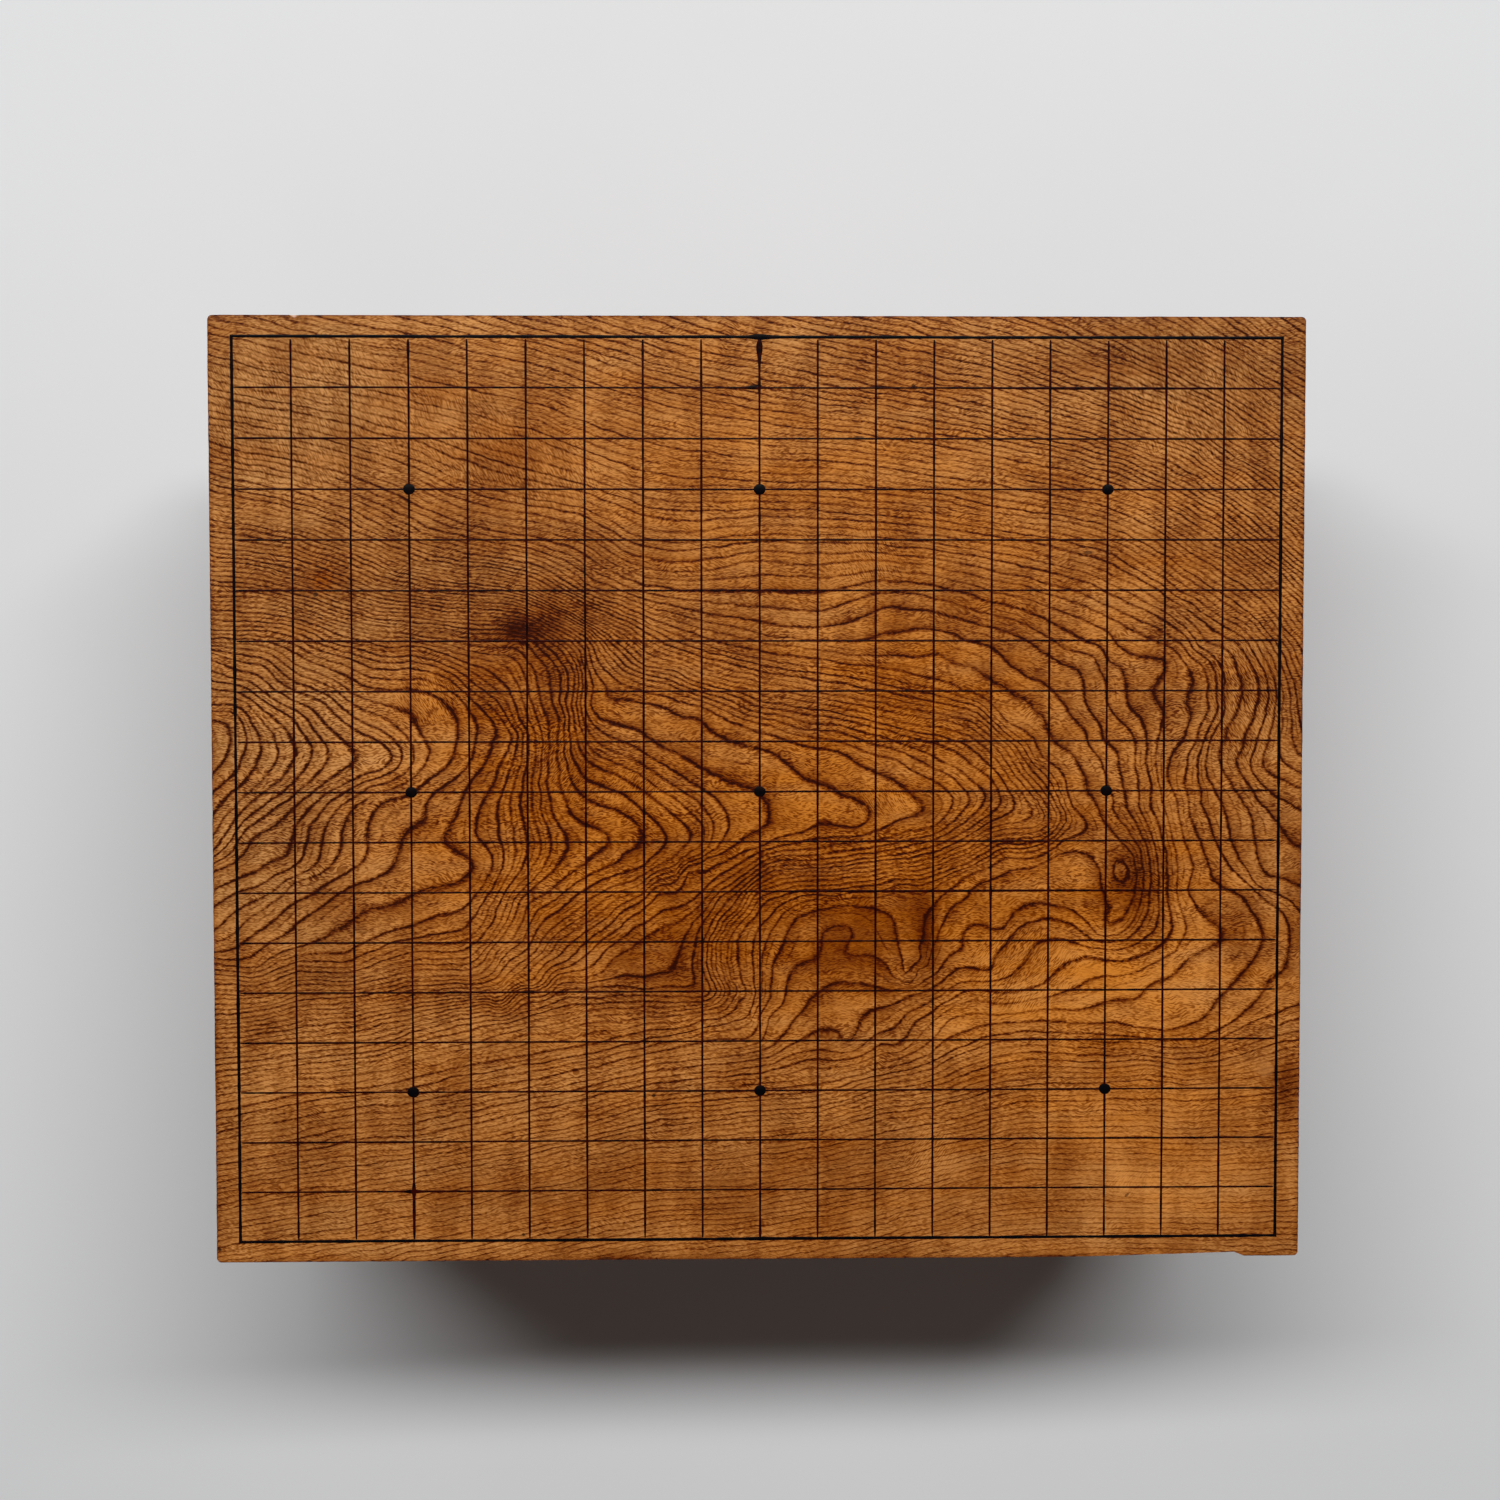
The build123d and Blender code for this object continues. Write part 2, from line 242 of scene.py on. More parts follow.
# Ring numbers at single pixels, where the rings lie side by side or close on themselves
LONE_RINGS = [
    (1118, 868, 44.7), (1050, 881, 46.6), (1015, 886, 46.6), (214, 560, 29), (299, 560, 32), (356, 560, 36),
    (415, 560, 41), (472, 560, 44), (529, 560, 46), (587, 596, 45), (587, 560, 49.5), (646, 594, 49),
    (214, 435, 51), (300, 435, 54), (214, 312, 67), (300, 312, 70), (420, 435, 58), (420, 312, 73.5),
    (540, 435, 62), (540, 312, 77.5), (650, 520, 57), (650, 435, 66.5), (650, 312, 81.5), (760, 600, 49.5),
    (760, 560, 52.5), (760, 440, 68.3), (760, 318, 85), (880, 610, 48), (880, 560, 52.6), (880, 440, 70.4),
    (880, 318, 88.5), (1000, 560, 54.8), (1000, 440, 74.2), (1000, 318, 93), (1100, 600, 53.7),
    (1100, 560, 57.5), (1100, 440, 79), (1100, 318, 98.5), (1160, 620, 54.5), (1200, 600, 60),
    (1200, 560, 66), (1200, 440, 86), (1200, 318, 105.5), (1250, 610, 63), (1299, 720, 62.5),
    (1299, 640, 66.5), (1299, 560, 77.5), (1299, 440, 95.5), (1299, 318, 114.5), (216, 985, 19.5),
    (300, 985, 22), (415, 985, 25), (216, 1025, 27.5), (300, 1018, 28.7), (415, 1008, 30), (219, 1200, 56),
    (219, 1264, 68), (300, 1264, 70), (415, 1150, 53), (415, 1264, 74), (540, 1150, 58), (540, 1264, 79),
    (650, 1150, 63), (650, 1264, 83), (760, 1100, 56), (760, 1180, 70), (760, 1264, 85), (880, 1100, 60),
    (880, 1180, 74), (880, 1262, 89), (1000, 1085, 62), (1000, 1170, 78), (1000, 1262, 94), (1150, 1069, 60),
    (1150, 1160, 76), (1150, 1262, 95), (1299, 1000, 55), (1299, 1060, 61), (1299, 1160, 77),
    (1299, 1258, 94), (1235, 1080, 62),
]

# Below the top face the rings settle into those of a straight trunk, whose pith lies this deep
# under the face and off the middle by an amount that changes along the board, and so many rings
# pass from the left edge to the right
PITH_DEPTH = 150 * MM
PITH_MIDDLE = -20 * MM
PITH_SLANT = -0.167
RING_THICKNESS = 2.4 * MM
RINGS_ALONG = 50
SWIRL_DEPTH = 45 * MM

# Soft patches on the top face: pixel of the middle, half width and half height in pixels,
# strength and, for a patch that is turned, the turn in degrees

# Where the short pore strokes lean: 1 down to the right, -1 up to the right
LEAN_PATCHES = [
    (300, 410, 110, 80, 1), (470, 430, 60, 80, 0.5), (1190, 400, 110, 90, 0.7), (560, 480, 60, 60, 0.6),
    (860, 560, 80, 60, 0.5), (1020, 965, 60, 45, -1), (560, 760, 40, 70, -0.5), (430, 700, 40, 30, 0.8),
    (1240, 700, 50, 90, 0.7), (640, 790, 50, 40, -0.5), (880, 800, 60, 40, 0.5), (930, 1150, 50, 40, -0.6),
    (1180, 960, 60, 60, -0.4), (300, 770, 70, 50, 0.3), (1130, 1180, 50, 30, -0.5),
]

# Where the ring lines are fainter than elsewhere, and bolder where the strength is negative
FAINT_PATCHES = [
    (760, 1200, 800, 85, 0.38), (340, 1020, 160, 60, 0.1), (700, 440, 260, 80, 0.08),
    (400, 400, 240, 90, 0.08), (760, 1262, 700, 14, 0.3), (1190, 1090, 120, 60, 0.2),
    (1150, 1180, 200, 80, 0.22), (870, 930, 60, 26, 0.4), (1200, 700, 110, 90, -0.3),
    (550, 760, 80, 110, -0.35), (320, 780, 150, 110, -0.4), (760, 800, 220, 120, -0.22),
    (1150, 900, 150, 110, -0.15),
]

# Where the top is darker, and paler where the strength is negative. Most are the wood's own tone,
# but the broad patches over the front part and along the front edge are painted shade, and the
# paler ones at the left and the top left are partly painted sheen
DARK_PATCHES = [
    (430, 560, 150, 60, 0.15, -18), (523, 631, 22, 11, 0.85), (560, 640, 60, 40, 0.15, -30),
    (655, 958, 42, 30, 0.22), (700, 930, 60, 60, 0.16), (745, 865, 90, 26, 0.25, 12),
    (860, 935, 70, 40, 0.38), (920, 925, 12, 45, 0.55, -8), (1124, 882, 26, 50, 0.5, 4),
    (1150, 350, 110, 34, 0.16, 6), (1270, 400, 40, 80, 0.14), (1285, 1085, 20, 32, 0.45),
    (640, 400, 30, 70, 0.12, 8), (760, 330, 14, 14, 0.2), (880, 370, 22, 36, 0.14), (900, 610, 40, 50, 0.1),
    (1137, 1155, 22, 16, 0.16), (560, 740, 50, 60, 0.05), (1060, 900, 50, 12, 0.22, -14),
    (620, 1258, 26, 5, 0.45), (360, 985, 120, 24, 0.12, 4), (1235, 930, 24, 38, 0.28),
    (1232, 878, 14, 9, -0.35), (1290, 880, 14, 60, 0.15), (1210, 840, 30, 20, 0.15),
    (520, 700, 60, 130, 0.08), (680, 1000, 80, 40, 0.1), (1070, 1155, 24, 24, 0.16),
    (1135, 1165, 22, 34, -0.14), (1020, 1215, 50, 40, 0.08), (1050, 1100, 60, 16, -0.12),
    (1180, 1130, 60, 50, -0.1), (1085, 985, 130, 50, -0.3, -8), (1210, 950, 50, 60, -0.12),
    (300, 720, 90, 40, -0.16, 12), (400, 860, 70, 60, -0.12), (940, 760, 60, 40, -0.14),
    (300, 430, 90, 60, -0.08), (1130, 1160, 60, 50, -0.1), (700, 350, 200, 30, -0.06),
    (480, 330, 240, 20, -0.08), (300, 400, 120, 70, 0.1), (600, 1200, 480, 75, 0.12),
    (1150, 1250, 200, 24, 0.06), (760, 1264, 640, 12, 0.12), (1110, 960, 40, 30, -0.2, -10),
    (640, 1020, 160, 14, -0.1), (470, 850, 24, 30, -0.12), (1000, 1190, 160, 60, -0.05),
    (740, 450, 260, 80, -0.12), (1170, 400, 130, 80, -0.09), (1050, 930, 60, 50, -0.1),
    (660, 810, 90, 60, -0.08), (340, 910, 110, 40, 0.08), (760, 1170, 260, 80, 0.07),
    (340, 1170, 130, 80, 0.04), (1130, 1170, 160, 70, 0.08),
]

# Where the wood is more orange, and greyer where the strength is negative. The greyer patches
# at the left and the top left are partly the wood's own tone and partly painted sheen
WARM_PATCHES = [
    (290, 400, 120, 100, -0.35), (300, 730, 120, 70, -0.3), (270, 850, 90, 60, -0.3),
    (1180, 380, 140, 60, -0.25), (450, 590, 150, 60, -0.2, -15), (300, 900, 120, 70, -0.15),
    (900, 700, 140, 60, 0.25), (540, 720, 90, 110, 0.3), (620, 860, 330, 150, 0.55),
    (900, 900, 260, 160, 0.4), (1150, 930, 160, 130, 0.3), (700, 480, 300, 120, 0.28),
    (1000, 620, 300, 160, 0.3), (440, 690, 150, 50, 0.25), (325, 581, 12, 11, 0.8),
    (1150, 1120, 200, 130, 0.3), (700, 1200, 300, 90, 0.18),
]

# The patches die out below the top face over this depth
TONE_FADE = 40 * MM
BLOCK_WARMTH = 0.35
FAINTNESS_RANGE = (-0.35, 0.8)
DARKNESS_RANGE = (-0.5, 0.85)

# Wear of the block's arrises, and a thin line along the top arrises that is painted darker
ARRIS_REACH = 1.2 * MM
ARRIS_WEAR = 0.22 * MM
ARRIS_WEAR_LENGTH = 7 * MM
ARRIS_SHADE = 0.6
ARRIS_SHADE_REACH = 0.7 * MM

# Small marks on the top face: pixel of the middle, half width and half height in mm, turn in
# degrees, colour and strength
MARKS = [
    (291, 312, 2, 1.1, -35, (232, 186, 160), 0.95), (318, 594, 1.2, 1, 0, (46, 24, 14), 0.8),
    (1081, 556, 1.9, 0.8, 0, (58, 30, 18), 0.7), (855, 443, 2.6, 0.7, 0, (50, 26, 16), 0.7),
    (654, 1092, 0.9, 0.7, 0, (34, 14, 8), 0.9), (524, 1234, 0.8, 0.7, 0, (34, 14, 8), 0.8),
    (222, 1252, 0.9, 0.8, 0, (34, 14, 8), 0.8), (910, 392, 0.9, 0.9, 0, (34, 14, 8), 0.8),
    (1128, 1195, 1.2, 0.6, 40, (60, 28, 12), 0.7), (1265, 1068, 4, 3.4, 0, (196, 128, 66), 0.45),
    (752, 392, 3.2, 0.8, 0, (12, 6, 6), 0.9), (606, 1258, 3, 0.9, 0, (52, 22, 12), 0.7),
]

# Slicing of the block and legs, so that their meshes carry the rings' course
TOP_SLICE = 2.6 * MM
SIDE_SLICE = 5.0 * MM
UNDER_SLICE = 9.0 * MM
LEG_SLICE = 1.9 * MM
LEG_END_SLICE = 5.0 * MM
OUTSIDE_RIM = 3.0 * MM


# Wood figure

PLATE_CHUNK = 4000
PLACE_SLACK = 0.02
RING_SLACK = 1e-4


def thin_plate(places, values, slack):
    """The smoothest surface through the values at the places, as a function of many places."""
    count = len(places)
    unit = 0.1 * np.ptp(places)
    knots = places / unit

    def bend(points):
        apart = ((points[:, None] - knots) ** 2).sum(-1)
        return apart * np.log(np.maximum(apart, 1e-12)) / 2

    plane = np.column_stack([np.ones(count), knots])
    system = np.zeros((count + 3, count + 3))
    system[:count, :count] = bend(knots) + slack * np.eye(count)
    system[:count, count:] = plane
    system[count:, :count] = plane.T
    weights = np.linalg.solve(system, np.append(values, [0, 0, 0]))

    def height(points):
        parts = np.array_split(np.array(points) / unit, len(points) // PLATE_CHUNK + 1)
        return np.concatenate(
            [bend(part) @ weights[:count] + weights[count] + part @ weights[count + 1:] for part in parts])

    return height


def board_place():
    """A function that turns pixels of the photograph into places on the top face."""
    pixels = [pixel for row in (*STAR_PIXELS, *GRID_CORNER_PIXELS, *BLOCK_CORNER_PIXELS) for pixel in row]
    places = list(STAR_PLACES)
    for half_length, half_width in ((GRID_HALF_LENGTH, GRID_HALF_WIDTH), (HALF_LENGTH, HALF_WIDTH)):
        places += [(side * half_length, end * half_width) for end in (1, -1) for side in (-1, 1)]
    along, across = (thin_plate(np.array(pixels), place, PLACE_SLACK) for place in zip(*places))
    return lambda picked: np.stack([along(picked), across(picked)], axis=-1)


on_board = board_place()
PIXEL = 2 * HALF_LENGTH / (BLOCK_CORNER_PIXELS[0][1][0] - BLOCK_CORNER_PIXELS[0][0][0])


def ring_map():
    """A function that gives the ring number at places on the top face."""
    picked = [(*pixel, number) for number, pixels in RINGS.items() for pixel in pixels] + LONE_RINGS
    picked = np.array(picked)
    return thin_plate(on_board(picked[:, :2]), picked[:, 2], RING_SLACK)


rings_on_top = ring_map()


def trunk_rings(along, across, depth):
    """Ring numbers of a straight trunk, at depth below the top face."""
    first = RINGS_ALONG * (along + HALF_LENGTH) / (2 * HALF_LENGTH)
    off_pith = across - PITH_MIDDLE - PITH_SLANT * along
    return first + (np.hypot(off_pith, PITH_DEPTH - depth) - PITH_DEPTH) / RING_THICKNESS


def block_rings(points):
    """Ring numbers inside the block: the top's own swirls, which die out into the trunk's rings."""
    along, across = points[:, 0], points[:, 1]
    depth = TOP - points[:, 2]
    swirl = rings_on_top(points[:, :2]) - trunk_rings(along, across, 0.0)
    return trunk_rings(along, across, depth) + swirl * np.exp(-depth / SWIRL_DEPTH)


def leg_rings(middle, turn):
    """Ring numbers inside a leg, whose pith lies beside it in the direction of turn."""
    pith = np.array(middle) + LEG_PITH * np.array([cos(turn), sin(turn)])

    def rings_at(points):
        lean = LEG_PITH_LEAN * (points[:, 2] - BLOCK_LOW.z)
        return np.hypot(points[:, 0] - pith[0] + lean, points[:, 1] - pith[1] - lean) / LEG_RING_THICKNESS

    return rings_at


def patch_sum(points, patches):
    """Sum of the soft patches of the top face at points of the block."""
    total = np.zeros(len(points))
    middles = on_board([patch[:2] for patch in patches])
    for middle, (_, _, half_width, half_height, strength, *turn) in zip(middles, patches):
        turned = radians(turn[0]) if turn else 0.0
        aside, up = ((points[:, :2] - middle) / PIXEL).T
        along = (aside * cos(turned) - up * sin(turned)) / half_width
        across = (aside * sin(turned) + up * cos(turned)) / half_height
        total += strength * np.exp(-(along ** 2 + across ** 2))
    return total * np.exp(-(TOP - points[:, 2]) / TONE_FADE)


def read_vertices(mesh, what):
    numbers = np.empty(len(mesh.vertices) * 3)
    mesh.vertices.foreach_get(what, numbers)
    return numbers.reshape(-1, 3)


def give_values(mesh, **layers):
    """Stores one number for each vertex under each name."""
    for name, values in layers.items():
        layer = mesh.attributes.new(name, "FLOAT", "POINT")
        layer.data.foreach_set("value", np.broadcast_to(values, len(mesh.vertices)).astype(np.float32))


SLOPE_STEP = 0.4 * MM
GAP_RANGE = (1.0, 60.0)


def lay_rings(mesh, rings_at):
    """Stores each vertex's ring number and how many mm apart the rings cut the surface there."""
    points, facing = read_vertices(mesh, "co"), read_vertices(mesh, "normal")
    number = rings_at(points)
    rises = [rings_at(points + SLOPE_STEP * axis) - number for axis in np.eye(3)]
    slope = np.stack(rises, axis=-1) / SLOPE_STEP
    slope -= facing * (slope * facing).sum(-1, keepdims=True)
    gap = 1 / (np.linalg.norm(slope, axis=-1) * MM + 1e-6)
    give_values(mesh, rings=number, ring_gap=np.clip(gap, *GAP_RANGE))


# Node drawing

def srgb(red, green, blue):
    """A colour as seen on a screen, 0 to 255, as the shader takes it."""
    shares = (value / 255 for value in (red, green, blue))
    return (*(s / 12.92 if s <= 0.04045 else ((s + 0.055) / 1.055) ** 2.4 for s in shares), 1.0)


class Drawing:
    """A node tree, with short calls that each add one node and give back its output."""

    def __init__(self, tree):
        self.tree = tree

    def put(self, socket, value):
        if isinstance(value, bpy.types.NodeSocket):
            self.tree.links.new(value, socket)
        else:
            socket.default_value = value

    def node(self, kind, values=None, **settings):
        made = self.tree.nodes.new("ShaderNode" + kind)
        for name, setting in settings.items():
            setattr(made, name, setting)
        for name, value in (values or {}).items():
            self.put(made.inputs[name], value)
        return made

    def feed(self, sockets, values):
        for socket, value in zip(sockets, values):
            self.put(socket, value)

    def maths(self, operation, *values):
        made = self.node("Math", operation=operation)
        self.feed(made.inputs, values)
        return made.outputs[0]

    def add(self, *values):
        return reduce(lambda total, value: self.maths("ADD", total, value), values)

    def times(self, *values):
        return reduce(lambda product, value: self.maths("MULTIPLY", product, value), values)

    def less(self, whole, value):
        return self.maths("SUBTRACT", whole, value)

    def line(self, value, slope, start):
        """The straight line start + slope * value."""
        return self.maths("MULTIPLY_ADD", value, slope, start)

    def vector(self, operation, *values):
        made = self.node("VectorMath", operation=operation)
        self.feed(made.inputs, values)
        return made.outputs["Value" if operation == "LENGTH" else "Vector"]

    def fade(self, value, low, high, at_low=0.0, at_high=1.0):
        """Goes smoothly from at_low to at_high while value goes from low to high."""
        ends = {"From Min": low, "From Max": high, "To Min": at_low, "To Max": at_high}
        made = self.node("MapRange", {"Value": value, **ends}, interpolation_type="SMOOTHSTEP")
        return made.outputs["Result"]

    def noise(self, place, size, detail=2.0):
        """Noise from 0 to 1 whose spots measure size in the units of place."""
        shrunk = self.vector("MULTIPLY", place, tuple(1 / side for side in size))
        return self.node("TexNoise", {"Vector": shrunk, "Scale": 1.0, "Detail": detail}).outputs[0]

    def sway(self, place, size, reach, detail=2.0):
        """Noise around 0 that seldom goes further than reach."""
        return self.times(self.less(self.noise(place, size, detail), 0.5), 4.0 * reach)

    def mix(self, share, first, second):
        made = self.node("Mix", data_type="RGBA")
        self.feed((made.inputs[0], *made.inputs[6:8]), (share, first, second))
        return made.outputs[2]

    def ramp(self, value, stops):
        made = self.node("ValToRGB", {"Fac": value})
        elements = made.color_ramp.elements
        while len(elements) < len(stops):
            elements.new(0.5)
        for element, (place, colour) in zip(elements, stops.items()):
            element.position = place
            element.color = srgb(*colour)
        return made.outputs["Color"]

    def surface(self, values):
        """The shader that the material shows."""
        shader = self.node("BsdfPrincipled", values)
        self.node("OutputMaterial", {"Surface": shader.outputs["BSDF"]})


# Keyaki: dark pore rows along the rings, short pore strokes between them, and soft shading

PALE_WOOD = {0: (52, 14, 0), 0.3: (102, 46, 13), 0.62: (156, 98, 44), 1: (216, 156, 94)}
WARM_WOOD = {0: (48, 8, 0), 0.3: (94, 30, 0), 0.62: (147, 73, 5), 1: (216, 132, 46)}
FIGURE_LAYERS = ("rings", "ring_gap", "lean", "faintness", "warmth", "darkness")
FIGURE_SOCKETS = {
    "INPUT": {"fibre": "Vector", **dict.fromkeys(FIGURE_LAYERS, "Float")},
    "OUTPUT": {"Color": "Color", "Roughness": "Float", "Height": "Float"},
}

# Spots are mm along the fibre and across it, and a gap is the mm between two rings on the surface.
# A sway has its spots, its reach and its detail, and a fade its two ends and the values there.
RING_SWAYS = [((34, 22, 22), 1), ((11, 8, 8), 0.5, 1), ((4, 2, 2), 0.2, 4)]
UNEVEN_SCALE = 0.62
UNEVEN_BY_GAP = (5, 11, 0.25, 0)
ROW_BOLDNESS = (0.1, 0.8, 0.55, 1)
BOLDER_BY_GAP = (4, 10, 0, 0.4)
COURSE_SPOTS = (24, 9, 9)
COURSE_BOLDNESS = (0.3, 0.6, 0.62, 1.05)
ROW_HALF = 0.24
ROW_PER_GAP = 0.04
ROW_FULL_GAP = 6
ROW_BY_GAP = (7, 16, 0, 0.45)
ROW_CORE, ROW_RIM = 0.1, 2
ROW_DEPTH_BY_GAP = (6, 14, 1, 0.75)
THINNED = -0.9
PORE_SPOTS = (1.5, 1, 1)
PORES = (0.38, 0.58, 0.45, 1)
MID_SPOTS = (38, 10, 10)
MID_COMES = (0.42, 0.6, 0, 0.55)
MID_FROM_GAP = (2.2, 3.6)
MID_TO_GAP = (30, 14)
MID_CORE, MID_RIM = 0.1, 1.15
TRAIL_FULL_GAP = 14
TRAIL_REACH = 0.25
TRAIL_PER_GAP = 0.19
TRAIL_START = (-0.4, 0.1)
TRAIL_BY_GAP = (3, 8, 0.45, 1)
WAVES = [((24, 14, 14), 2.2), ((6, 5, 5), 0.5, 0)]
STROKE_SPOTS = (1.8, 0.34, 0.34)
STROKE_LEANS = ((52, 0.25, 0.6), (-42, -0.25, -0.6))
STROKES = (0.38, 0.58)
STROKE_DEPTH_SPOTS = (16, 8, 8)
STROKE_DEPTH = (0.3, 0.7, 0.2, 0.4)
GRAIN_SPOTS = (1, 0.5, 0.5)
ROW_DARK, MID_DARK, TRAIL_DARK, GRAIN_DARK = 0.66, 0.45, 0.36, 0.22
BARE_TONE = 0.86
CLOUDS = ((60, 26, 26), 0.09)
FLAME_SPOTS = (11, 40, 40)
FLAMES = (0.4, 0.6, -0.05, 0.05)
STREAKS = ((45, 1.6, 1.6), 0.06)
PATCH_DARK = -0.65
WARMTH_SWAY = ((40, 9, 9), 0.22)
BARE_ROUGHNESS = 0.34
DARK_ROUGHNESS = 0.12


def keyaki_group():
    """The wood figure as a node group, which takes the fibre and the layers of vertex values."""
    tree = bpy.data.node_groups.new("keyaki_figure", "ShaderNodeTree")
    for way, sockets in FIGURE_SOCKETS.items():
        for label, kind in sockets.items():
            tree.interface.new_socket(name=label, in_out=way, socket_type="NodeSocket" + kind)
    d = Drawing(tree)
    given = tree.nodes.new("NodeGroupInput").outputs
    result = tree.nodes.new("NodeGroupOutput").inputs
    fibre, gap = given["fibre"], given["ring_gap"]
    thinning = d.line(given["faintness"], THINNED, 1.0)

    # The listed rings are too even, so they sway a little and their spacing changes
    sway = d.add(*(d.sway(fibre, *spots) for spots in RING_SWAYS))
    number = d.add(given["rings"], d.maths("DIVIDE", sway, gap))
    uneven = d.node(
        "TexNoise", {"W": number, "Scale": UNEVEN_SCALE, "Detail": 0.0}, noise_dimensions="1D").outputs[0]
    number = d.add(number, d.times(d.less(uneven, 0.5), d.fade(gap, *UNEVEN_BY_GAP)))
    nearest = d.maths("ROUND", number)
    away = d.times(d.less(number, nearest), gap)

    # Each pore row is bold or faint in its own way, and changes along its course
    own = d.node("TexWhiteNoise", {"W": nearest}, noise_dimensions="1D").outputs["Value"]
    own = d.maths("MINIMUM", d.add(d.fade(own, *ROW_BOLDNESS), d.fade(gap, *BOLDER_BY_GAP)), 1.0)
    course = d.fade(d.noise(fibre, COURSE_SPOTS), *COURSE_BOLDNESS)
    boldness = d.times(own, course, d.less(1.0, given["faintness"]))
    half = d.line(d.maths("MINIMUM", gap, ROW_FULL_GAP), ROW_PER_GAP, ROW_HALF)
    half = d.times(d.add(half, d.fade(gap, *ROW_BY_GAP)), thinning)
    pores = d.fade(d.noise(fibre, PORE_SPOTS, 1.0), *PORES)
    row = d.fade(d.maths("ABSOLUTE", away), d.times(half, ROW_CORE), d.times(half, ROW_RIM), 1.0, 0.0)
    row = d.times(row, d.fade(gap, *ROW_DEPTH_BY_GAP), pores, boldness)

    # Fainter rows halfway between them come and go
    halfway = d.add(number, 0.5)
    off_halfway = d.maths("ABSOLUTE", d.times(d.less(halfway, d.maths("ROUND", halfway)), gap))
    coming = d.fade(d.noise(fibre, MID_SPOTS), *MID_COMES)
    coming = d.times(coming, d.fade(gap, *MID_FROM_GAP), d.fade(gap, *MID_TO_GAP))
    between = d.fade(off_halfway, MID_CORE, d.times(half, MID_RIM), 1.0, 0.0)
    between = d.times(between, coming, pores)

    # On the outer side of each pore row the wood lightens slowly
    reach = d.line(d.maths("MINIMUM", gap, TRAIL_FULL_GAP), TRAIL_PER_GAP, TRAIL_REACH)
    trail = d.maths("EXPONENT", d.maths("DIVIDE", d.maths("MAXIMUM", away, 0.0), d.times(reach, -1.0)))
    trail = d.times(trail, d.fade(away, *TRAIL_START), boldness, d.fade(gap, *TRAIL_BY_GAP))

    # Pore strokes between the rows lie along the fibre or lean over it
    wave = d.add(*(d.sway(fibre, *spots) for spots in WAVES))
    waved = d.vector("ADD", fibre, d.node("CombineXYZ", {"Y": wave}).outputs[0])
    strokes = d.noise(waved, STROKE_SPOTS, 0.0)
    for turn, *lean_range in STROKE_LEANS:
        turned = {"Vector": waved, "Angle": radians(turn)}
        turned = d.node("VectorRotate", turned, rotation_type="Z_AXIS").outputs[0]
        leaning = d.noise(turned, STROKE_SPOTS, 0.0)
        strokes = d.mix(d.fade(given["lean"], *lean_range), strokes, leaning)
    stroke_depth = d.times(d.fade(d.noise(fibre, STROKE_DEPTH_SPOTS), *STROKE_DEPTH), thinning)

    dark = d.add(
        d.times(row, ROW_DARK),
        d.times(between, MID_DARK),
        d.times(trail, TRAIL_DARK),
        d.times(d.less(1.0, d.fade(strokes, *STROKES)), stroke_depth),
        d.times(d.less(0.5, d.noise(waved, GRAIN_SPOTS)), GRAIN_DARK),
    )
    clouds = d.sway(fibre, *CLOUDS)
    flames = d.fade(d.noise(fibre, FLAME_SPOTS, 1.0), *FLAMES)
    streaks = d.sway(waved, *STREAKS)
    patches = d.times(given["darkness"], PATCH_DARK)
    tone = d.add(d.less(BARE_TONE, dark), clouds, flames, streaks, patches)

    warmth = d.add(given["warmth"], d.sway(fibre, *WARMTH_SWAY))
    d.put(result["Color"], d.mix(warmth, d.ramp(tone, PALE_WOOD), d.ramp(tone, WARM_WOOD)))
    d.put(result["Roughness"], d.line(dark, DARK_ROUGHNESS, BARE_ROUGHNESS))
    d.put(result["Height"], d.times(dark, -1.0))
    return tree


KEYAKI_FIGURE = keyaki_group()
WOOD_SHINE = 0.04
WOOD_BUMP = {"Strength": 0.5, "Distance": 0.10 * MM}
MARK_DEPTH = 4 * MM
MARK_EDGE = (0.65, 1.2)
MARK_RAGGED = ((0.8, 0.8, 0.8), 0.25)
LACQUER_SHINE = 0.03
LACQUER_ROUGHNESS = (0.3, 0.7, 0.28, 0.42)
LACQUER_BUMP = {"Strength": 0.4, "Distance": 0.05 * MM}


def start_material(name):
    material = bpy.data.materials.new(name)
    material.use_nodes = True
    material.node_tree.nodes.clear()
    return material, Drawing(material.node_tree)


def place_in_mm(d):
    place = {"Vector": d.node("TexCoord").outputs["Object"], "Scale": 1000.0}
    return d.node("VectorMath", place, operation="SCALE").outputs["Vector"]


def draw_mark(d, colour, mark):
    """One small ragged mark over the colour of the top face."""
    x, y, half_width, half_height, turn, tint, strength = mark
    place = d.node("Mapping", {
        "Vector": d.node("TexCoord").outputs["Object"],
        "Location": (*on_board([(x, y)])[0], TOP),
        "Rotation": (0.0, 0.0, radians(turn)),
        "Scale": (half_width * MM, half_height * MM, MARK_DEPTH),
    }, vector_type="TEXTURE").outputs[0]
    far = d.add(d.vector("LENGTH", place), d.sway(place, *MARK_RAGGED))
    return d.mix(d.fade(far, *MARK_EDGE, strength, 0.0), colour, srgb(*tint))


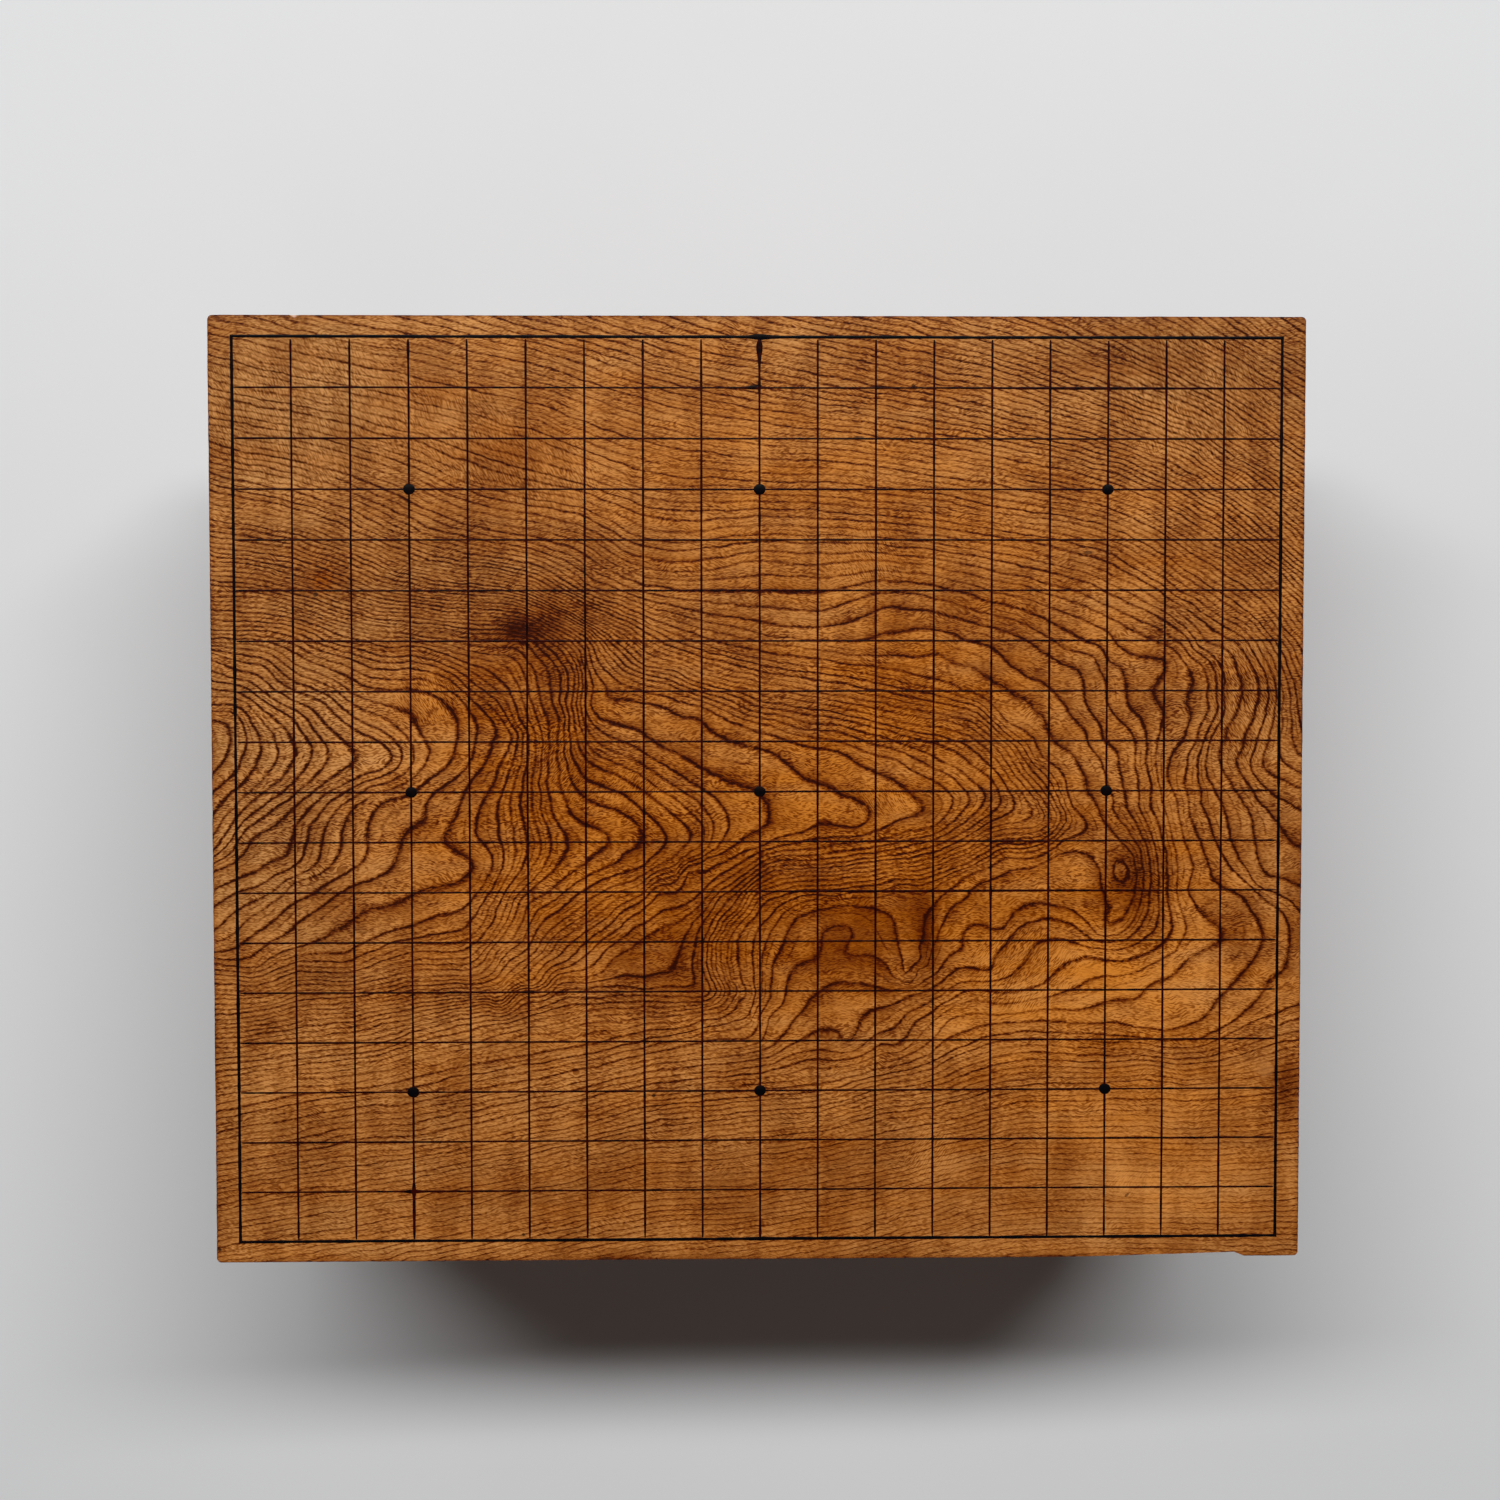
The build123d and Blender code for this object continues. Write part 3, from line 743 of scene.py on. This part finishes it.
def keyaki_material(name, upright=False, marks=()):
    """Oiled keyaki. The fibre runs along X, or along Z when it stands upright."""
    material, d = start_material(name)
    fibre = place_in_mm(d)
    if upright:
        parts = d.node("SeparateXYZ", {"Vector": fibre}).outputs
        fibre = d.node("CombineXYZ", {"X": parts["Z"], "Y": parts["X"], "Z": parts["Y"]}).outputs[0]
    figure = d.node("Group", node_tree=KEYAKI_FIGURE)
    d.put(figure.inputs["fibre"], fibre)
    for layer in FIGURE_LAYERS:
        d.put(figure.inputs[layer], d.node("Attribute", attribute_name=layer).outputs["Fac"])
    colour = figure.outputs["Color"]
    for mark in marks:
        colour = draw_mark(d, colour, mark)
    d.surface({
        "Base Color": colour,
        "Roughness": figure.outputs["Roughness"],
        "Specular IOR Level": WOOD_SHINE,
        "Normal": d.node("Bump", {"Height": figure.outputs["Height"], **WOOD_BUMP}).outputs[0],
    })
    return material


def lacquer_material(name, thick, thin, *cover):
    """Dark lacquer, thin in places. Cover is the noise levels between which it gets thick."""
    material, d = start_material(name)
    place = place_in_mm(d)
    coverage = d.fade(d.noise(place, (2.6, 2.6, 2.6), 3.0), *cover)
    height = d.noise(place, (1.1, 1.1, 1.1), 3.0)
    d.surface({
        "Base Color": d.mix(coverage, srgb(*thin), srgb(*thick)),
        "Roughness": d.fade(d.noise(place, (0.9, 0.9, 0.9)), *LACQUER_ROUGHNESS),
        "Specular IOR Level": LACQUER_SHINE,
        "Normal": d.node("Bump", {"Height": height, **LACQUER_BUMP}).outputs[0],
    })
    return material


# Pieces

def add_object(name, data):
    """A new object in the scene."""
    made = bpy.data.objects.new(name, data)
    bpy.context.scene.collection.objects.link(made)
    return made


def finish_piece(bm, name, material, body, replaced, sharp_above=32):
    """Turns a bmesh into a piece that rides on a body and stands for a node of the frame."""
    bmesh.ops.recalc_face_normals(bm, faces=bm.faces)
    for edge in bm.edges:
        edge.smooth = edge.calc_face_angle(0.0) < radians(sharp_above)
    for face in bm.faces:
        face.smooth = True
    mesh = bpy.data.meshes.new(name)
    bm.to_mesh(mesh)
    bm.free()
    mesh.materials.append(material)
    piece = add_object(name, mesh)
    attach(piece, body)
    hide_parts(replaced)
    return piece


AXES = {"x": Vector((1, 0, 0)), "y": Vector((0, 1, 0)), "z": Vector((0, 0, 1))}


def cut_across(bm, faces, *cuts):
    """Cuts the faces along planes square to an axis, about step apart between low and high."""
    edges = {edge for face in faces for edge in face.edges}
    verts = {vert for face in faces for vert in face.verts}
    geometry = [*verts, *edges, *faces]
    for axis, low, high, step in cuts:
        count = max(1, round((high - low) / step))
        for part in range(1, count):
            place = low + (high - low) * part / count
            cut = bmesh.ops.bisect_plane(
                bm, geom=geometry, dist=1e-7, plane_co=AXES[axis] * place, plane_no=AXES[axis])
            geometry = cut["geom"]


def on_outside(face):
    """Whether a face of the block belongs to the top or the four sides."""
    x, y, z = face.calc_center_median()
    return max(z - TOP, abs(x) - HALF_LENGTH, abs(y) - HALF_WIDTH) > -OUTSIDE_RIM


def wear_arrises(bm):
    """Wears the block's arrises a little unevenly."""
    for vert in bm.verts:
        place = vert.co
        near_side = max(abs(place.x) - HALF_LENGTH, abs(place.y) - HALF_WIDTH) > -ARRIS_REACH
        near_end = max(place.z - TOP, BLOCK_LOW.z - place.z) > -ARRIS_REACH
        if near_side and near_end:
            worn = 0.5 + 0.5 * noise.noise(place / ARRIS_WEAR_LENGTH)
            vert.co = place - vert.normal * worn * ARRIS_WEAR


def make_block():
    """The block: a merged copy of its frame node, cut finely enough to carry the rings."""
    bm = bmesh.new()
    bm.from_mesh(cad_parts["board_block"].data)
    bmesh.ops.remove_doubles(bm, verts=bm.verts, dist=2e-6)
    bmesh.ops.dissolve_limit(bm, angle_limit=radians(0.4), verts=bm.verts, edges=bm.edges)
    along, across = ("x", -HALF_LENGTH, HALF_LENGTH), ("y", -HALF_WIDTH, HALF_WIDTH)
    under = [face for face in bm.faces if not on_outside(face)]
    cut_across(bm, under, (*along, UNDER_SLICE), (*across, UNDER_SLICE))
    shell = [face for face in bm.faces if on_outside(face)]
    cut_across(bm, shell, ("z", BLOCK_LOW.z, TOP, SIDE_SLICE), (*across, TOP_SLICE), (*along, TOP_SLICE))
    bm.normal_update()
    wear_arrises(bm)
    block = finish_piece(bm, "keyaki_block", keyaki_material("keyaki_block", marks=MARKS), "block",
                         "board_block")
    lay_rings(block.data, block_rings)
    points = read_vertices(block.data, "co")
    below = TOP - points[:, 2]
    from_side = np.minimum(HALF_LENGTH - abs(points[:, 0]), HALF_WIDTH - abs(points[:, 1]))
    # A thin line along the top arrises is painted darker
    arris = np.exp(-(below ** 2 + from_side ** 2) / ARRIS_SHADE_REACH ** 2)
    give_values(
        block.data,
        lean=np.clip(patch_sum(points, LEAN_PATCHES), -1, 1),
        faintness=np.clip(patch_sum(points, FAINT_PATCHES), *FAINTNESS_RANGE),
        warmth=np.clip(BLOCK_WARMTH + patch_sum(points, WARM_PATCHES), 0, 1),
        darkness=np.clip(patch_sum(points, DARK_PATCHES) + ARRIS_SHADE * arris, *DARKNESS_RANGE),
    )


def hermite(places, values, at):
    """A smooth curve through the values."""
    slopes = np.gradient(values, places)
    index = np.clip(np.searchsorted(places, at, side="right") - 1, 0, len(places) - 2)
    span = places[index + 1] - places[index]
    t = (at - places[index]) / span
    start = (1 + 2 * t) * (1 - t) ** 2 * values[index] + t * (1 - t) ** 2 * span * slopes[index]
    return start + t ** 2 * (3 - 2 * t) * values[index + 1] + t ** 2 * (t - 1) * span * slopes[index + 1]


def leg_radius(share, angle):
    """How far the leg's surface is from its axis: round hollows between the ridges."""
    shares, radii, hollows = np.array(LEG_SECTIONS).T
    ridge = hermite(shares, radii * MM, share)
    left = 1 - hermite(shares, hollows, share)
    step = 2 * pi / LEG_RIDGES
    off_middle = (angle % step) - step / 2
    centre = ridge * (1 - left ** 2) / (2 * (cos(step / 2) - left))
    arc = centre - ridge * left
    return centre * cos(off_middle) - sqrt(arc ** 2 - (centre * sin(off_middle)) ** 2)


def cut_leg_end(bm, low, high, half):
    """Cuts the faces of a leg that lie between two heights, out to half from its axis each way."""
    faces = [face for face in bm.faces if low < face.calc_center_median().z < high]
    cut_across(bm, faces, *((axis, -half, half, LEG_END_SLICE) for axis in "xy"))


def make_leg(name, turn):
    """A carved leg with its tenon."""
    low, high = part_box(name)
    middle = (low + high) / 2
    height = BLOCK_LOW.z
    bm = bmesh.new()
    bmesh.ops.create_cone(bm, cap_ends=True, segments=LEG_FACETS, radius1=1, radius2=1, depth=height,
                          matrix=Matrix.Translation((0, 0, height / 2)))
    cut_across(bm, bm.faces, ("z", 0, height, LEG_SLICE))
    for vert in bm.verts:
        share = vert.co.z / height
        angle = np.arctan2(vert.co.y, vert.co.x)
        radius = leg_radius(share, angle)
        if vert.co.z < TOUCHING:
            radius -= FOOT_CHAMFER
        vert.co = Vector((radius * cos(angle), radius * sin(angle), vert.co.z))
    cut_leg_end(bm, -TOUCHING, TOUCHING, FOOT_HALF)
    tenon_height = high.z - height + TENON_SUNK
    shape = Matrix.Translation((0, 0, high.z - tenon_height / 2)) @ Matrix.Diagonal(
        (TENON_SIDE, TENON_SIDE, tenon_height, 1))
    tenon = bmesh.ops.create_cube(bm, size=1, matrix=shape)["verts"]
    rim = {edge for vert in tenon for edge in vert.link_edges
           if all(end.co.z > high.z - TOUCHING for end in edge.verts)}
    bmesh.ops.bevel(bm, geom=list(rim), offset=TENON_CHAMFER, segments=1, affect="EDGES", profile=0.5,
                    material=-1)
    cut_leg_end(bm, height + 1 * MM, high.z + TOUCHING, TENON_SIDE / 2)
    bmesh.ops.translate(bm, verts=bm.verts, vec=(middle.x, middle.y, 0))
    leg = finish_piece(bm, "keyaki_" + name, LEG_WOOD, name, name, sharp_above=24)
    lay_rings(leg.data, leg_rings((middle.x, middle.y), turn))
    give_values(leg.data, lean=0.0, faintness=0.15, warmth=0.45, darkness=0.10)


def add_bead(bm, start, end, width, height, seed, taper=True):
    """A closed bead of lacquer on the top face, drawn by hand from start to end."""
    run = Vector(end) - Vector(start)
    length = run.length
    first_edge, first_vert = len(bm.edges), len(bm.verts)
    bmesh.ops.create_cube(bm, size=1)
    for axis, cuts in ((1, 2), (0, round(length / BEAD_STEP))):
        lines = [edge for edge in list(bm.edges)[first_edge:]
                 if abs(edge.verts[0].co[axis] - edge.verts[1].co[axis]) > 0.5]
        bmesh.ops.subdivide_edges(bm, edges=lines, cuts=cuts, use_grid_fill=True)
    along, aside = run / length, Vector((-run.y, run.x)) / length
    for vert in list(bm.verts)[first_vert:]:
        t = (vert.co.x + 0.5) * length
        place = Vector(start) + along * t
        swells = (noise.noise(Vector((t / spot, seed, level))) for spot, level in BEAD_SWELLS)
        spread = 1 + BEAD_SPREAD * sum(swells)
        half = 0.5 * width * spread + 0.5 * blot_width(place)
        if taper:
            half *= min(1.0, BEAD_TIP + min(t, length - t) / BEAD_TAPER)
        side = vert.co.y * 2
        drift = BEAD_DRIFT * noise.noise(Vector((t / BEAD_DRIFT_LENGTH, seed, 5)))
        place = place + aside * (drift + side * half)
        rise = height * (1 - BEAD_CROWN * side ** 4) if vert.co.z > 0 else -BEAD_SUNK
        vert.co = Vector((place.x, place.y, TOP + rise))


BLOT_PLACES = on_board([blot[:2] for blot in BLOTS])


def blot_width(place):
    """Extra width of the lacquer where blots lie."""
    extra = 0.0
    for (x, y), (_, _, half_width, half_height, wider) in zip(BLOT_PLACES, BLOTS):
        far = ((place.x - x) / (half_width * PIXEL)) ** 2 + ((place.y - y) / (half_height * PIXEL)) ** 2
        if far < 9:
            extra += wider * MM * np.exp(-far)
    return extra


def make_border():
    bm = bmesh.new()
    x, y = GRID_HALF_LENGTH, GRID_HALF_WIDTH
    over = BORDER_BEAD / 2
    sides = (((-x - over, y), (x + over, y)), ((x, y + over), (x, -y - over)),
             ((x + over, -y), (-x - over, -y)), ((-x, -y - over), (-x, y + over)))
    for seed, (start, end) in enumerate(sides):
        height = LACQUER_HEIGHT * (1.0 - 0.08 * (seed % 2))
        add_bead(bm, start, end, BORDER_BEAD, height, 40.5 + seed, taper=False)
    finish_piece(bm, "border_lacquer", BLACK_LACQUER, "block", "border_line")


def make_grid():
    bm = bmesh.new()
    inner = BORDER_BEAD / 2
    for index in range(1, LINES_EACH_WAY - 1):
        x = -GRID_HALF_LENGTH + index * PITCH_ALONG
        slip = LINE_SLIP * noise.noise(Vector((index * 1.7, 3, 0)))
        top = GRID_HALF_WIDTH - inner - VERTICAL_GAP + slip
        low = -GRID_HALF_WIDTH + inner + (HORIZONTAL_GAP if index < 9 else 0)
        add_bead(bm, (x, top), (x, low), VERTICAL_WIDTH, LACQUER_HEIGHT, index + 0.3)
        y = -GRID_HALF_WIDTH + index * PITCH_ACROSS
        end = GRID_HALF_LENGTH - inner - HORIZONTAL_GAP
        add_bead(bm, (-end, y), (end, y), HORIZONTAL_WIDTH, 0.85 * LACQUER_HEIGHT, index + 20.3)
    finish_piece(bm, "grid_lacquer", LINE_LACQUER, "block", "grid_lines")


def make_stars():
    bm = bmesh.new()
    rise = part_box("star_points")[1].z - TOP
    for x, y in STAR_PLACES:
        middle = Vector((x, y, TOP))
        disc = bmesh.ops.create_cone(
            bm, cap_ends=True, segments=36, radius1=STAR_RADIUS, radius2=STAR_TOP_SHARE * STAR_RADIUS,
            depth=rise + 2 * STAR_SUNK)["verts"]
        for vert in disc:
            uneven = 1 + 0.05 * noise.noise(vert.co * 400 + middle * 90)
            vert.co.x *= STAR_STRETCH[0] * uneven
            vert.co.y *= STAR_STRETCH[1] * uneven
            vert.co.z += rise / 2 - STAR_SUNK
            vert.co += middle
    finish_piece(bm, "star_lacquer", BLACK_LACQUER, "block", "star_points")


LEG_WOOD = keyaki_material("keyaki_leg", upright=True)
BLACK_LACQUER = lacquer_material("black_lacquer", (7, 6, 9), (20, 8, 8), 0.3, 0.54)
LINE_LACQUER = lacquer_material("line_lacquer", (16, 4, 5), (50, 8, 4), 0.38, 0.62)

make_block()
for leg_name, leg_turn in LEG_TURNS.items():
    make_leg(leg_name, leg_turn)
make_border()
make_grid()
make_stars()


# Floor, light and camera

FLOOR_HALF = 5
FLOOR_FRONT, FLOOR_BACK = -0.55, 0.75
FLOOR_WEAR = ((0.35, 0.35, 0.35), 0.12, 6)
FLOOR_ENDS = (0.9, 2.6, 1, 0)
FLOOR_BOUNCE = srgb(150, 150, 150)
FLOOR_ROUGHNESS = 0.8
FLOOR_SHINE = 0.2
BACKDROP = 0.6
WORLD_LIGHT = 0.018

# Lamps: direction, distance, width, height and share of full plain light on a face towards it
LAMPS = {
    "key": ((-0.03, 0.5, 1), 5.5, 6.6, 0.8, 1.14),
    "fill_front": ((0.12, -1, 0), 4.2, 2.8, 0.18, 0.29),
    "fill_right": ((1, -0.15, 0), 4.2, 2.6, 0.18, 0.26),
    "fill_left": ((-1, 0.1, 0), 4.2, 2.6, 0.18, 0.22),
}


def make_floor():
    bm = bmesh.new()
    bmesh.ops.create_grid(bm, x_segments=1, y_segments=1, size=FLOOR_HALF)
    mesh = bpy.data.meshes.new("floor")
    bm.to_mesh(mesh)
    bm.free()
    add_object("floor", mesh)
    material, d = start_material("pale_floor")
    place = d.node("TexCoord").outputs["Object"]
    # Painted light: the floor is made lighter towards the back, where the key lamp stands, with a little
    # wear over it
    back = d.fade(d.node("SeparateXYZ", {"Vector": place}).outputs["Y"], FLOOR_FRONT, FLOOR_BACK)
    wear_and_painted_light = d.add(back, d.sway(place, *FLOOR_WEAR))
    seen = d.mix(wear_and_painted_light, srgb(217, 218, 219), srgb(238, 239, 240))
    direct = d.node("LightPath").outputs["Is Camera Ray"]
    # The floor isn't seen from below, and far from the board it gives way to the backdrop
    from_above = d.less(1.0, d.node("NewGeometry").outputs["Backfacing"])
    near = d.fade(d.vector("LENGTH", place), *FLOOR_ENDS)
    d.surface({
        "Base Color": d.mix(direct, FLOOR_BOUNCE, seen),
        "Alpha": d.times(from_above, near),
        "Roughness": FLOOR_ROUGHNESS,
        "Specular IOR Level": FLOOR_SHINE,
    })
    mesh.materials.append(material)


def make_lamp(name, direction, distance, width, height, brightness):
    """A soft lamp, turned to the middle of the board."""
    lamp = bpy.data.lights.new(name, "AREA")
    lamp.shape = "RECTANGLE"
    lamp.size = width
    lamp.size_y = height
    lamp.energy = brightness * pi ** 2 * distance ** 2
    away = Vector(direction).normalized() * distance
    lamp_object = add_object(name, lamp)
    lamp_object.location = away + Vector((0, 0, TOP / 2))
    lamp_object.rotation_euler = away.to_track_quat("Z", "Y").to_euler()
    lamp_object.visible_camera = False


def make_world():
    """Even light from all around. The camera alone sees it as a pale backdrop."""
    world = bpy.data.worlds.new("studio")
    bpy.context.scene.world = world
    world.use_nodes = True
    d = Drawing(world.node_tree)
    background = world.node_tree.nodes["Background"]
    background.inputs["Color"].default_value = srgb(255, 255, 255)
    seen = d.node("LightPath").outputs["Is Camera Ray"]
    d.put(background.inputs["Strength"], d.line(seen, BACKDROP - WORLD_LIGHT, WORLD_LIGHT))


def make_camera():
    camera = bpy.data.cameras.new("camera")
    camera.lens = LENS
    camera_object = add_object("camera", camera)
    camera_object.location = CAMERA_PLACE
    camera_object.rotation_euler = CAMERA_TURN
    bpy.context.scene.camera = camera_object


make_floor()
for lamp_name, lamp_facts in LAMPS.items():
    make_lamp(lamp_name, *lamp_facts)
make_world()
make_camera()
bpy.context.scene.view_settings.view_transform = "Standard"
